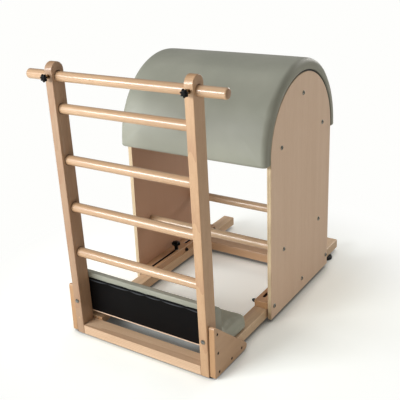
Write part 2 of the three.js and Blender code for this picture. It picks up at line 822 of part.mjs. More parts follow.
function base() {
  const group = new THREE.Group();
  for (const [side, word] of [[-1, "left"], [1, "right"]]) {
    group.add(named(`base_rail_${word}`, railBar(side), "beech"));
    const gussetX = side * (railOutsideWidth / 2 + seatGap + gussetThickness / 2);
    group.add(named(`gusset_${word}`, gusset(side), "beech", gussetX, gussetFront, gussetUnderside));
    const blockX = side * ((railInsideWidth - cornerBlockWidth) / 2 - seatGap);
    const blockY = railFront + cornerBlockLength / 2;
    const blockZ = railTop - cornerBlockHeight / 2;
    group.add(named(`corner_block_${word}`, cornerBlock(), "beech", blockX, blockY, blockZ));
    group.add(named(`front_foot_${word}`, frontFoot(), "rubber", side * stileX, ladderAxisY));
    const footX = side * (railOutsideWidth / 2 - rearFootInset);
    group.add(named(`rear_foot_${word}`, rearFoot(), "rubber", footX, rearFootY));
  }
  const beamY = rearBeamFront + rearBeamWidth / 2;
  group.add(named("rear_beam", rearBeam(), "beech", 0, beamY, railUnderside + railHeight / 2));
  group.add(flatPad());
  return group;
}

function barrel() {
  const group = new THREE.Group();
  for (const [side, word] of [[-1, "left"], [1, "right"]]) {
    group.add(named(`panel_${word}`, sidePanel(), "plywood", side * panelX));
    const slider = sliderBlock(side);
    group.add(named(`slider_${word}`, slider, "beech", side * sliderX, 0, sliderUnderside + sliderHeight / 2));
  }
  const sideAngle = THREE.MathUtils.degToRad(upperBarSideDegrees);
  const bars = [
    [0, archHeight + middleBarRing],
    [-upperBarRing * Math.cos(sideAngle), archHeight + upperBarRing * Math.sin(sideAngle)],
    [upperBarRing * Math.cos(sideAngle), archHeight + upperBarRing * Math.sin(sideAngle)],
    [-lowerBarSpacing / 2, lowerBarHeight],
    [lowerBarSpacing / 2, lowerBarHeight],
  ];
  bars.forEach(([y, z], index) => group.add(named(`cross_bar_${index + 1}`, crossBar(), "beechRound", 0, y, z)));
  group.add(named("backing_shell", backingShell(), "blackBoard"));
  group.add(named("barrel_pad", barrelPad(), "vinyl"));
  group.position.y = barrelCentreY;
  return group;
}

const ladderBarrel = new THREE.Group();
ladderBarrel.add(ladder(), base(), barrel());
for (const [side, word] of [[-1, "left"], [1, "right"]]) {
  const knob = clamp(`slider_clamp_${word}`, sliderClamp, sliderHeight + seatGap + sliderStudDepth);
  knob.position.set(side * slotX, clampStudY, sliderTop);
  ladderBarrel.add(knob);
}

// The origin is on the floor, under the middle of the whole outline.
ladderBarrel.updateMatrixWorld(true);
const outline = new THREE.Box3().setFromObject(ladderBarrel, true);
ladderBarrel.position.y = -(outline.min.y + outline.max.y) / 2;

export default ladderBarrel;
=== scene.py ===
import json
import bpy
import numpy as np
from mathutils import Matrix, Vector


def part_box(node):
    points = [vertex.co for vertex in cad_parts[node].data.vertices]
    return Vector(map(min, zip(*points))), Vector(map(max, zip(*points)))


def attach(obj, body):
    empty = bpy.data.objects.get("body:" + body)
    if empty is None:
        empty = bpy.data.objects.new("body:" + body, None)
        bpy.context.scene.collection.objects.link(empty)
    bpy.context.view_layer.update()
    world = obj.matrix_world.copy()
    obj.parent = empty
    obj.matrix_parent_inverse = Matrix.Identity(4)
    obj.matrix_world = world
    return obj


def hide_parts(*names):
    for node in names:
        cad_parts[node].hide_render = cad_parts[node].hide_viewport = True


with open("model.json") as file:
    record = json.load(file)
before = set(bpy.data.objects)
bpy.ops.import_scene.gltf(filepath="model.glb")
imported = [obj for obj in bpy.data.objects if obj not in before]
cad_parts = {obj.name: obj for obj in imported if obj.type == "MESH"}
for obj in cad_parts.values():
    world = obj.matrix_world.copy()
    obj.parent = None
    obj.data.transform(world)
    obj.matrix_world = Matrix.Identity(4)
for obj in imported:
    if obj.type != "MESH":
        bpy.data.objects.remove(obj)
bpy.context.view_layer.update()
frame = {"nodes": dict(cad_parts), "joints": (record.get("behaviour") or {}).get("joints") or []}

fullTurn = 2 * np.pi


# making surfaces

def meshPoints(mesh):
    # the places of a mesh's points, one row each
    points = np.empty(len(mesh.vertices) * 3)
    mesh.vertices.foreach_get("co", points)
    return points.reshape(-1, 3)


def movePoints(mesh, points):
    mesh.vertices.foreach_set("co", points.ravel())
    mesh.update()


def added(name, data):
    # a new object in the scene, at the origin
    item = bpy.data.objects.new(name, data)
    bpy.context.scene.collection.objects.link(item)
    return item


def makeMesh(name, points, faces, material, body, slotName, *replaced):
    # a smooth mesh that rides a body and stands for the solids that it replaces
    mesh = bpy.data.meshes.new(name)
    mesh.from_pydata(points.tolist(), [], faces)
    mesh.validate()
    mesh.polygons.foreach_set("use_smooth", np.ones(len(mesh.polygons), bool))
    mesh.materials.append(material)
    piece = added(name, mesh)
    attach(piece, body)
    if replaced:
        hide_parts(*replaced)
    return piece


def gridFaces(rows, columns, closes=True):
    # each cell of a grid, as its four corners' numbers; where it closes, its last column joins its first
    across = np.arange(columns if closes else columns - 1)
    row, column = np.meshgrid(np.arange(rows - 1), across, indexing="ij")
    nextColumn = (column + 1) % columns
    corners = [row * columns + column, row * columns + nextColumn,
               (row + 1) * columns + nextColumn, (row + 1) * columns + column]
    return np.stack(corners, axis=-1).reshape(-1, 4)


def closedGrid(grid):
    # a stack of rings with a fan of triangles to a middle point over its first and its last ring
    rows, columns = grid.shape[:2]
    points = np.vstack([grid.reshape(-1, 3), grid[0].mean(axis=0), grid[-1].mean(axis=0)])
    column = np.arange(columns)
    following = (column + 1) % columns
    last = (rows - 1) * columns
    startFan = np.stack([following, column, np.full(columns, rows * columns)], axis=1)
    endFan = np.stack([last + column, last + following, np.full(columns, rows * columns + 1)], axis=1)
    return points, [*gridFaces(rows, columns).tolist(), *startFan.tolist(), *endFan.tolist()]


def turnedGrid(heights, radii, sides, wave=None):
    # a profile of heights and radii carried round Z; wave gives each ring's radius factor by angle
    angle = np.arange(sides) / sides * fullTurn
    factor = np.ones((len(heights), sides)) if wave is None else wave(angle)
    reach = np.asarray(radii)[:, None] * factor
    height = np.repeat(np.asarray(heights)[:, None], sides, axis=1)
    return np.stack([reach * np.cos(angle), reach * np.sin(angle), height], axis=-1)


def unit(vector):
    return np.array(vector, float) / np.linalg.norm(vector)


def aim(grid, direction, place):
    # turns a surface made along Z so that Z points in a direction, and sets it in place
    direction = unit(direction)
    helper = np.array([1.0, 0, 0]) if abs(direction[0]) < 0.9 else np.array([0, 1.0, 0])
    side = unit(np.cross(helper, direction))
    basis = np.stack([side, np.cross(direction, side), direction])
    return grid @ basis + np.array(place)


def sharpen(piece, degrees):
    piece.data.set_sharp_from_angle(angle=np.radians(degrees))


finerSolid = {"mergeWithin": 0.00002, "creaseAngle": 32}


def finerCopy(node, material, body):
    # a merged copy of a solid, smooth across its curves and crisp at its corners
    mesh = frame["nodes"][node].data.copy()
    mesh.name = node + "_finish"
    piece = added(node + "_finish", mesh)
    piece.modifiers.new("merge", "WELD").merge_threshold = finerSolid["mergeWithin"]
    graph = bpy.context.evaluated_depsgraph_get()
    merged = bpy.data.meshes.new_from_object(piece.evaluated_get(graph))
    piece.modifiers.clear()
    piece.data = merged
    merged.name = node + "_finish"
    merged.polygons.foreach_set("use_smooth", np.ones(len(merged.polygons), bool))
    merged.materials.clear()
    merged.materials.append(material)
    sharpen(piece, finerSolid["creaseAngle"])
    piece.modifiers.new("even shading", "WEIGHTED_NORMAL").keep_sharp = True
    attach(piece, body)
    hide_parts(node)


# node trees

def tone(hexCode):
    # a screen colour turned into the linear light that shaders work in
    value = np.array([int(hexCode[i:i + 2], 16) for i in (0, 2, 4)]) / 255
    linear = np.where(value <= 0.04045, value / 12.92, ((value + 0.055) / 1.055) ** 2.4)
    return (*linear.tolist(), 1.0)


def newMaterial(name):
    material = bpy.data.materials.new(name)
    material.use_nodes = True
    tree = material.node_tree
    tree.nodes.clear()
    output = tree.nodes.new("ShaderNodeOutputMaterial")
    shader = tree.nodes.new("ShaderNodeBsdfPrincipled")
    feed(tree, output, {"Surface": shader})
    return material, tree, shader


def feed(tree, node, inputs):
    # links a node's first output or another socket, and writes a plain value on the node's own socket
    for key, value in dict(inputs).items():
        if isinstance(value, bpy.types.Node):
            value = value.outputs[0]
        if isinstance(value, bpy.types.NodeSocket):
            tree.links.new(value, node.inputs[key])
        else:
            node.inputs[key].default_value = value


def addNode(tree, kind, inputs=(), **settings):
    node = tree.nodes.new("ShaderNode" + kind)
    for key, value in settings.items():
        setattr(node, key, value)
    feed(tree, node, inputs)
    return node


def objectPlace(tree, scale=(1, 1, 1)):
    # Object coordinates in metres, stretched by a scale along each axis
    coordinates = addNode(tree, "TexCoord").outputs["Object"]
    return addNode(tree, "Mapping", {"Vector": coordinates, "Scale": scale})


def alongGrain(grain, share):
    # a scale that is smaller along the grain, where the pattern then runs longer
    return [share if axis == grain else 1 for axis in "XYZ"]


def noise(tree, place, scale, detail, **more):
    inputs = {"Vector": place, "Scale": scale, "Detail": detail, **more}
    return addNode(tree, "TexNoise", inputs).outputs["Fac"]


def ramp(tree, factor, stops, interpolation="LINEAR"):
    node = addNode(tree, "ValToRGB", {"Fac": factor})
    node.color_ramp.interpolation = interpolation
    while len(node.color_ramp.elements) < len(stops):
        node.color_ramp.elements.new(0.5)
    for element, (position, value) in zip(node.color_ramp.elements, stops):
        element.position = position
        element.color = value if len(value) == 4 else (*value, 1.0)
    return node.outputs["Color"]


def mixed(tree, factor, first, second, blend="MIX"):
    # the colour mix node has its factor at socket 0 and its two colours at 6 and 7
    node = addNode(tree, "Mix", data_type="RGBA", blend_type=blend)
    feed(tree, node, {0: factor, 6: first, 7: second})
    return node.outputs[2]


def maths(tree, operation, first, second=0.0):
    return addNode(tree, "Math", {0: first, 1: second}, operation=operation)


def ranged(tree, value, fromLow, fromHigh, toLow, toHigh):
    inputs = {"Value": value, "From Min": fromLow, "From Max": fromHigh, "To Min": toLow, "To Max": toHigh}
    return addNode(tree, "MapRange", inputs, clamp=True)


def bumped(tree, shader, height, strength, distance):
    bump = addNode(tree, "Bump", {"Height": height, "Strength": strength, "Distance": distance})
    feed(tree, shader, {"Normal": bump})


def threeParts(tree, source):
    # X, Y and Z of an object's own coordinates or normal
    coordinates = addNode(tree, "TexCoord")
    return addNode(tree, "SeparateXYZ", {"Vector": coordinates.outputs[source]}).outputs


def faceAlong(tree, axis):
    # how far a face looks along one axis, from 0 to 1
    return maths(tree, "ABSOLUTE", threeParts(tree, "Normal")[axis])


# finishes

beech = {
    "pale": "c9a47f",
    "dark": "bc9772",
    "lateWood": "a4785a",
    "endGrain": "b0865c",
    "fleck": "97683f",
    "rings": 46,          # growth lines: a period of 0.314 m over this number
    "ringWander": 5.0,
    "growth": 26,         # growth bands a metre across the grain
    "pores": 620,         # fine lines a metre across the grain
    "stretch": 0.035,     # scale along the grain
    "flecks": 520,        # short flecks a metre
    "fleckStretch": 0.16,
    "boards": 2.1,        # slow changes of tone a metre, as from board to board
    "roughness": 0.42,
    "coat": 0.3,
    "coatRoughness": 0.2,
}
turnedBeech = {**beech, "pale": "cba985", "dark": "bd9975", "endGrain": "8f6238",
               "roughness": 0.4, "coat": 0.7}
pinkBeech = {**beech, "pale": "b09073", "dark": "a58569"}
beamBeech = {**beech, "pale": "dbbc9c", "dark": "cfaf8e"}
# paler copy of beech on the rails: painted light for the light that falls short on them
paintedLightRailBeech = {**beech, "pale": "ecceaa", "dark": "e0c19b"}
barBeech = {**turnedBeech, "pale": "dfc2a1", "dark": "d2b490"}
sliderBeech = {**beech, "pale": "d0a67c", "dark": "c3986e"}
plugBeech = {**beech, "pale": "e9cfae", "dark": "dcbf9b"}


def woodMaterial(name, look, grain, ringAxis):
    # bands, growth lines, pores and short flecks, all stretched along the grain, and darker sawn ends
    material, tree, shader = newMaterial(name)
    place = objectPlace(tree, alongGrain(grain, look["stretch"]))
    bands = noise(tree, place, look["growth"], 5, Roughness=0.62, Distortion=0.35)
    pores = noise(tree, place, look["pores"], 2)
    fleckPlace = objectPlace(tree, alongGrain(grain, look["fleckStretch"]))
    flecks = addNode(tree, "TexVoronoi", {"Vector": fleckPlace, "Scale": look["flecks"]})
    body = ramp(tree, bands, [(0.3, tone(look["dark"])), (0.68, tone(look["pale"]))])
    rings = addNode(tree, "TexWave", {"Vector": place, "Scale": look["rings"], "Detail": 2,
                                      "Distortion": look["ringWander"], "Detail Scale": 0.3},
                    bands_direction=ringAxis, wave_profile="SAW")
    lateWood = ranged(tree, rings.outputs["Fac"], 0.55, 1.0, 0.0, 0.42)
    body = mixed(tree, lateWood, body, tone(look["lateWood"]))
    board = noise(tree, objectPlace(tree), look["boards"], 1)
    boardShade = ramp(tree, board, [(0.35, (0.93, 0.91, 0.89)), (0.65, (1, 1, 1))])
    body = mixed(tree, 0.8, body, boardShade, "MULTIPLY")
    poreShade = ramp(tree, pores, [(0.32, (0.84, 0.8, 0.76)), (0.56, (1, 1, 1))])
    body = mixed(tree, 0.55, body, poreShade, "MULTIPLY")
    fleckMask = ranged(tree, flecks, 0.1, 0.26, 0.34, 0.0)
    body = mixed(tree, fleckMask, body, tone(look["fleck"]))
    sawn = ranged(tree, faceAlong(tree, grain), 0.8, 0.97, 0.0, 0.75)
    body = mixed(tree, sawn, body, tone(look["endGrain"]))
    shine = ranged(tree, pores, 0.3, 0.7, look["roughness"] + 0.09, look["roughness"] - 0.03)
    feed(tree, shader, {"Base Color": body, "Roughness": shine, "Coat Weight": look["coat"],
                        "Coat Roughness": look["coatRoughness"]})
    bumped(tree, shader, pores, 0.12, 0.0006)
    return material


# where the painted shade of the slot walls goes
slotWalls = {"middle": 0.2625, "halfWidth": 0.0062, "start": -0.08, "end": 0.378, "paintedSlotShade": "2a1a10"}


def slottedWood(name, look, slots):
    # timber with painted shade in its routed slots: the upright walls in a band of X as wide as the slots,
    # between two places along Y, are painted dark as the shade inside them
    material = woodMaterial(name, look, "Y", "Z")
    tree = material.node_tree
    shader = next(node for node in tree.nodes if node.type == "BSDF_PRINCIPLED")
    body = shader.inputs["Base Color"].links[0].from_socket
    parts = threeParts(tree, "Object")
    fromMiddle = maths(tree, "SUBTRACT", maths(tree, "ABSOLUTE", parts["X"]), slots["middle"])
    inBand = maths(tree, "LESS_THAN", maths(tree, "ABSOLUTE", fromMiddle), slots["halfWidth"])
    pastStart = maths(tree, "GREATER_THAN", parts["Y"], slots["start"])
    beforeEnd = maths(tree, "LESS_THAN", parts["Y"], slots["end"])
    upright = maths(tree, "LESS_THAN", faceAlong(tree, "Z"), 0.5)
    mask = inBand
    for condition in (upright, pastStart, beforeEnd):
        mask = maths(tree, "MULTIPLY", mask, condition)
    # painted shade on the slot walls
    feed(tree, shader, {"Base Color": mixed(tree, mask, body, tone(slots["paintedSlotShade"]))})
    return material


plywood = {
    "pale": "e9cbb0",
    "dark": "e2c2a5",
    "warm": "e6c5a8",
    "inside": "d4b299",       # faces that look at the middle of the barrel: painted shade with warm bounce light
    "edgePale": "d2bd9a",
    "edgeDark": "bda27e",
    "glue": "8d6f4c",
    "plies": 4,
    "stretch": 0.05,          # scale along the grain
    "bands": 22,              # each of these four is a number a metre
    "pores": 560,
    "flecks": 430,
    "clouds": 4.0,
    "roughness": 0.5,
    "coat": 0.15,
    "coatRoughness": 0.3,
}


def plywoodMaterial(name, look, thicknessAxis, start, thickness, grain="Z"):
    # quiet veneer on the faces, and plies with thin glue lines on the edges
    material, tree, shader = newMaterial(name)
    place = objectPlace(tree, alongGrain(grain, look["stretch"]))
    bands = noise(tree, place, look["bands"], 6, Roughness=0.65, Distortion=0.5)
    pores = noise(tree, place, look["pores"], 2)
    fleckPlace = objectPlace(tree, (1, 1, 0.2))
    flecks = addNode(tree, "TexVoronoi", {"Vector": fleckPlace, "Scale": look["flecks"]})
    face = ramp(tree, bands, [(0.28, tone(look["dark"])), (0.7, tone(look["pale"]))])
    clouds = noise(tree, objectPlace(tree, (1, 1, 0.6)), look["clouds"], 2)
    face = mixed(tree, ranged(tree, clouds, 0.45, 0.7, 0.0, 0.6), face, tone(look["warm"]))
    poreShade = ramp(tree, pores, [(0.3, (0.9, 0.88, 0.86)), (0.58, (1, 1, 1))])
    face = mixed(tree, 0.4, face, poreShade, "MULTIPLY")
    fleckMask = ranged(tree, flecks, 0.1, 0.25, 0.1, 0.0)
    face = mixed(tree, fleckMask, face, tone(look["glue"]))
    parts = threeParts(tree, "Object")
    # inner faces get painted shade with warm bounce light
    inward = maths(tree, "MULTIPLY", parts["X"], threeParts(tree, "Normal")["X"])
    paintedInsideShade = mixed(tree, 1.0, face, tone(look["inside"]), "MULTIPLY")
    paintedInsideShade = mixed(tree, 0.45, paintedInsideShade, tone(look["inside"]))
    face = mixed(tree, ranged(tree, inward, -0.05, -0.15, 0.0, 0.85), face, paintedInsideShade)
    depth = maths(tree, "SUBTRACT", maths(tree, "ABSOLUTE", parts[thicknessAxis]), start)
    layer = maths(tree, "MULTIPLY", depth, look["plies"] / thickness)
    odd = maths(tree, "FRACT", maths(tree, "MULTIPLY", layer, 0.5))
    edge = ramp(tree, odd, [(0.0, tone(look["edgePale"])), (0.5, tone(look["edgeDark"]))], "CONSTANT")
    edge = mixed(tree, 0.45, edge, tone(look["edgePale"]))
    fromMiddle = maths(tree, "ABSOLUTE", maths(tree, "SUBTRACT", maths(tree, "FRACT", layer), 0.5))
    edge = mixed(tree, ranged(tree, fromMiddle, 0.44, 0.5, 0.0, 0.6), edge, tone(look["glue"]))
    onEdge = ranged(tree, faceAlong(tree, thicknessAxis), 0.55, 0.75, 1.0, 0.0)
    shine = ranged(tree, pores, 0.3, 0.7, look["roughness"] + 0.1, look["roughness"])
    feed(tree, shader, {"Base Color": mixed(tree, onEdge, face, edge), "Roughness": shine,
                        "Coat Weight": look["coat"], "Coat Roughness": look["coatRoughness"]})
    bumped(tree, shader, pores, 0.1, 0.0005)
    return material


vinyl = {
    "body": "9a9a8c",
    "shade": "909183",
    "crease": "6a6c60",
    "tones": 5.5,         # slow changes of tone a metre
    "grain": 1150,        # leather cells a metre
    "wrinkles": 320,
    "roughness": 0.5,
    "sheen": 0.05,
    "sheenRoughness": 0.5,
}
# paler copy of the vinyl for the flat pad: painted light for the light that falls short under the barrel
paintedLightVinyl = {**vinyl, "body": "b0b1a0", "shade": "a6a796"}


def vinylMaterial(name, look):
    # fine leather cells with slow changes of tone and of shine
    material, tree, shader = newMaterial(name)
    place = objectPlace(tree)
    slow = noise(tree, place, look["tones"], 3)
    cells = addNode(tree, "TexVoronoi", {"Vector": place, "Scale": look["grain"]},
                    feature="DISTANCE_TO_EDGE")
    wrinkles = noise(tree, place, look["wrinkles"], 3, Distortion=0.6)
    body = ramp(tree, slow, [(0.35, tone(look["shade"])), (0.65, tone(look["body"]))])
    body = mixed(tree, ranged(tree, cells, 0.0, 0.12, 0.22, 0.0), body, tone(look["crease"]))
    shine = ranged(tree, wrinkles, 0.3, 0.7, look["roughness"] - 0.05, look["roughness"] + 0.08)
    feed(tree, shader, {"Base Color": body, "Roughness": shine, "Sheen Weight": look["sheen"],
                        "Sheen Roughness": look["sheenRoughness"]})
    bumped(tree, shader, maths(tree, "ADD", maths(tree, "MULTIPLY", cells, 0.8), wrinkles), 0.22, 0.0005)
    return material


def darkMaterial(name, pale, dark, scale, roughness, bump, specular=0.5):
    # near black with a fine mottled skin
    material, tree, shader = newMaterial(name)
    mottle = noise(tree, objectPlace(tree), scale, 4)
    body = ramp(tree, mottle, [(0.35, tone(dark)), (0.7, tone(pale))])
    shine = ranged(tree, mottle, 0.3, 0.7, roughness - 0.06, roughness + 0.08)
    feed(tree, shader, {"Base Color": body, "Roughness": shine, "Specular IOR Level": specular})
    bumped(tree, shader, mottle, bump, 0.0004)
    return material


dustWeave = {
    "threads": 190,       # a period of 0.314 m over this number
    "hollow": "020203",
    "thread": "060607",
    "dust": "0e1012",
    "slack": "50555a",    # painted highlight where the cloth hangs slack in its fold
    "roughness": 0.42,
    "specular": 0.1,
}


def clothMaterial(name, look):
    # a plain weave of two crossing sets of threads, with dust in the hollows
    material, tree, shader = newMaterial(name)
    place = objectPlace(tree)
    threads = {"Vector": place, "Scale": look["threads"], "Distortion": 0.6, "Detail": 1}
    warp, weft = (addNode(tree, "TexWave", threads, bands_direction=axis) for axis in "XZ")
    weave = maths(tree, "MULTIPLY", warp.outputs["Fac"], weft.outputs["Fac"])
    dust = noise(tree, place, 9, 4)
    body = ramp(tree, weave, [(0.0, tone(look["hollow"])), (0.9, tone(look["thread"]))])
    body = mixed(tree, ranged(tree, dust, 0.5, 0.8, 0.0, 0.25), body, tone(look["dust"]))
    # painted highlight along the slack fold, from the fold's attribute
    slack = addNode(tree, "Attribute", attribute_name="slack").outputs["Fac"]
    body = mixed(tree, ranged(tree, slack, 0.3, 1.0, 0.0, 0.8), body, tone(look["slack"]))
    feed(tree, shader, {"Base Color": body, "Roughness": look["roughness"],
                        "Specular IOR Level": look["specular"]})
    bumped(tree, shader, weave, 0.3, 0.0004)
    return material


def steelMaterial(name, pale, dark, roughness):
    # plating with fine turning lines and faint smears
    material, tree, shader = newMaterial(name)
    smears = noise(tree, objectPlace(tree), 260, 3)
    lines = noise(tree, objectPlace(tree, (1, 0.1, 1)), 1800, 1)
    body = ramp(tree, smears, [(0.3, tone(dark)), (0.7, tone(pale))])
    shine = ranged(tree, smears, 0.3, 0.7, roughness - 0.06, roughness + 0.1)
    feed(tree, shader, {"Base Color": body, "Metallic": 1.0, "Roughness": shine})
    bumped(tree, shader, lines, 0.08, 0.0002)
    return material


panelLow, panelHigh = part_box("panel_right")
padBoardPlies = (0.4577, 0.012)    # where they start, counted along Y, and how thick they are together
timber = {
    "alongX": woodMaterial("beech_along_x", beech, "X", "Z"),
    "alongY": woodMaterial("beech_along_y", beech, "Y", "Z"),
    "alongZ": woodMaterial("beech_along_z", beech, "Z", "Y"),
    "leftStile": woodMaterial("beech_pink", pinkBeech, "Z", "Y"),
    "beam": woodMaterial("beam_beech", beamBeech, "X", "Z"),
    "rail": woodMaterial("rail_beech_painted_light", paintedLightRailBeech, "Y", "Z"),
    "rung": woodMaterial("rung_beech", turnedBeech, "X", "Z"),
    "crossBar": woodMaterial("cross_bar_beech", barBeech, "X", "Z"),
    "slider": slottedWood("slider_beech", sliderBeech, slotWalls),
    "plug": woodMaterial("plug_beech", plugBeech, "Y", "Z"),
    # dark wood for the painted shade in the gaps round the rungs
    "gapShade": darkMaterial("painted_gap_shade", "4a2f1c", "35200f", 300, 0.6, 0.2),
    "panel": plywoodMaterial("panel_plywood", plywood, "X", panelLow[0], panelHigh[0] - panelLow[0]),
    "padBoard": plywoodMaterial("pad_board_plywood", plywood, "Y", *padBoardPlies, "X"),
}
sageVinyl = vinylMaterial("sage_vinyl", vinyl)
flatPadPaintedLightVinyl = vinylMaterial("flat_pad_vinyl_painted_light", paintedLightVinyl)
blackBoard = darkMaterial("black_board", "242322", "161514", 60, 0.6, 0.3)
blackPlastic = darkMaterial("black_plastic", "08090b", "030304", 900, 0.3, 0.1, 0.14)
blackRubber = darkMaterial("black_rubber", "1f1f1f", "131313", 700, 0.7, 0.4)
blackCloth = clothMaterial("black_dust_cloth", dustWeave)
zincSteel = steelMaterial("zinc_steel", "dadad4", "b0b0a8", 0.24)
padBoltSteel = steelMaterial("bolt_steel", "a6a6a1", "74746d", 0.2)
panelBoltSteel = steelMaterial("panel_bolt_steel", "b4b4ac", "66665e", 0.18)
# near black steel: painted shade inside the bolt sockets
socketShadeSteel = steelMaterial("socket_painted_shade", "2c2a26", "191815", 0.5)
bronzeSteel = steelMaterial("bronze_steel", "8a6a45", "5f4629", 0.36)
# dark brown screw heads: their own colour and painted shade of the screw holes
screwAndHoleShade = darkMaterial("screw_and_hole_shade", "24150d", "150c07", 500, 0.6, 0.2, 0.1)
print("finishes made")


# solids that keep their shape

kept = {
    "front_beam": timber["beam"],
    "rear_beam": timber["alongX"],
    "upright_pad_board": timber["padBoard"],
    "flat_pad_board": blackBoard,
}
for end in ("left", "right"):
    kept["base_rail_" + end] = timber["rail"]
    kept["corner_block_" + end] = timber["alongY"]
    kept["slider_" + end] = timber["slider"]
    kept["front_foot_" + end] = blackRubber
    kept["pad_bolt_" + end] = padBoltSteel
    for clamp, plating in (("head_clamp_", bronzeSteel), ("slider_clamp_", zincSteel)):
        kept[clamp + end + "_washer"] = plating
        kept[clamp + end + "_stud"] = plating
for node, material in kept.items():
    for slot in frame["nodes"][node].material_slots:
        slot.material = material

for end in ("left", "right"):
    finerCopy("stile_" + end, timber["leftStile" if end == "left" else "alongZ"], "frame")
    finerCopy("gusset_" + end, timber["alongY"], "frame")
    finerCopy("panel_" + end, timber["panel"], "barrel")
    finerCopy("rear_foot_" + end, blackRubber, "frame")
finerCopy("backing_shell", blackBoard, "barrel")
print("timber dressed")


# rungs, top rail and cross bars

roundBar = {"sides": 72, "endSteps": 6, "railEnd": 0.005, "barEnd": 0.002, "creaseAngle": 60}
rungNumbers, barNumbers = range(1, 5), range(1, 6)


def makeRoundBar(node, body, material, endRadius=roundBar["barEnd"]):
    # a straight profile carried round X, with each end rounded by a quarter circle
    low, high = (np.array(corner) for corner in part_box(node))
    radius = (high[2] - low[2]) / 2
    half = (high[0] - low[0]) / 2
    quarter = np.linspace(0, np.pi / 2, roundBar["endSteps"])
    nose = half - endRadius + endRadius * np.cos(quarter)
    reach = radius - endRadius + endRadius * np.sin(quarter)
    heights = np.concatenate([-nose, nose[::-1]])
    radii = np.concatenate([reach, reach[::-1]])
    grid = turnedGrid(heights, radii, roundBar["sides"])
    points, faces = closedGrid(aim(grid, (1, 0, 0), (low + high) / 2))
    piece = makeMesh(node + "_finish", points, faces, material, body, "turned_beech", node)
    sharpen(piece, roundBar["creaseAngle"])


gapShadeRim = {"gap": 0.00006, "width": 0.0016, "thickness": 0.00022, "sunk": 0.00004, "sides": 72}


def makeGapShadeRim(number, end, side):
    # a flat dark ring of painted shade on the stile, for the gap round the rung: its section's four corners
    # carried round the rung
    low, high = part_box(f"rung_{number}")
    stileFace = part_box("stile_" + end)[1 if side < 0 else 0][0]
    place = (stileFace - side * gapShadeRim["sunk"], (low[1] + high[1]) / 2, (low[2] + high[2]) / 2)
    radius = (high[2] - low[2]) / 2
    inner, outer, thick = radius + gapShadeRim["gap"], radius + gapShadeRim["width"], gapShadeRim["thickness"]
    grid = turnedGrid((0, 0, thick, thick), (inner, outer, outer, inner), gapShadeRim["sides"])
    faces = gridFaces(5, gapShadeRim["sides"]) % (4 * gapShadeRim["sides"])
    points = aim(grid, (-side, 0, 0), place).reshape(-1, 3)
    makeMesh(f"rung_gap_shade_rim_{number}_{end}", points, faces.tolist(), timber["gapShade"], "frame", "beech")


for number in rungNumbers:
    for end, side in (("left", -1), ("right", 1)):
        makeGapShadeRim(number, end, side)
for number in rungNumbers:
    makeRoundBar(f"rung_{number}", "frame", timber["rung"])
for number in barNumbers:
    makeRoundBar(f"cross_bar_{number}", "barrel", timber["crossBar"])
makeRoundBar("top_rail", "top_rail", timber["rung"], roundBar["railEnd"])
print("round bars made")


# padded pieces

def roundedOutline(width, height, radii, steps, sideSteps, topSteps):
    # a rectangle's outline from its lower right corner round, with a quarter circle at each corner
    middles = [(1, -1, -0.5), (1, 1, 0.0), (-1, 1, 0.5), (-1, -1, 1.0)]
    arcs = []
    for (signX, signY, start), radius in zip(middles, radii):
        angle = (start + np.linspace(0, 0.5, steps)) * np.pi
        arcs.append(np.stack([signX * (width / 2 - radius) + radius * np.cos(angle),
                              signY * (height / 2 - radius) + radius * np.sin(angle)], axis=1))
    parts = []
    for arc, following, edgeSteps in zip(arcs, arcs[1:] + arcs[:1], (sideSteps, topSteps) * 2):
        share = np.linspace(0, 1, edgeSteps + 2)[1:-1, None]
        parts += [arc, arc[-1] + (following[0] - arc[-1]) * share]
    return np.vstack(parts)


def endStations(half, radius, steps, middleSteps):
    # places along a pad from one end to the other, close together where its ends are rounded
    angle = np.linspace(0, np.pi / 2, steps)
    rounding = half - radius + radius * np.cos(angle)
    straight = np.linspace(half - radius, radius - half, middleSteps)[1:-1]
    return np.concatenate([rounding, straight, -rounding[::-1]])


def endInset(along, half, radius):
    # how far a quarter circle at each end draws the section in
    into = np.clip(np.abs(along) - (half - radius), 0, radius)
    return radius - np.sqrt(np.clip(radius ** 2 - into ** 2, 0, None))


padSteps = {"end": 14, "middle": 64, "section": (10, 6, 22)}


def padGrid(length, width, height, shape):
    # a rounded section carried along the pad. Towards its ends it narrows over planRadius, its top comes
    # down over endRadius and its foot comes up over footRadius. Its top is crowned by a product of two
    # parabolas, and its sides are drawn in most between the corners.
    half = length / 2
    along = endStations(half, shape["planRadius"], padSteps["end"], padSteps["middle"])
    section = roundedOutline(width, height, shape["corners"], *padSteps["section"])
    across = section[None, :, 0] * (1 - endInset(along, half, shape["planRadius"]) / (width / 2))[:, None]
    topShare = (1 - endInset(along, half, shape["endRadius"]) / (height / 2))[:, None]
    footShare = (1 - endInset(along, half, shape["footRadius"]) / (height / 2))[:, None]
    rise = section[None, :, 1] * np.where(section[None, :, 1] > 0, topShare, footShare)
    x = np.repeat(along[:, None], section.shape[0], axis=1)
    middleX = 1 - (x / half) ** 2
    middleY = 1 - (across / (width / 2)) ** 2
    upper = np.clip(rise / (height / 2), 0, 1)
    rise = rise + shape["crown"] * upper * middleX * middleY
    x = x * (1 - shape["drawIn"] / half * middleY)
    across = across * (1 - shape["drawIn"] / (width / 2) * middleX)
    return np.stack([x, across, rise], axis=-1)


swellingFrames = 20
swelling = {"quality": 5, "mass": 0.3, "tension_stiffness": 18.0, "compression_stiffness": 18.0,
            "bending_stiffness": 0.5, "use_pressure": True, "uniform_pressure_force": 4.0}


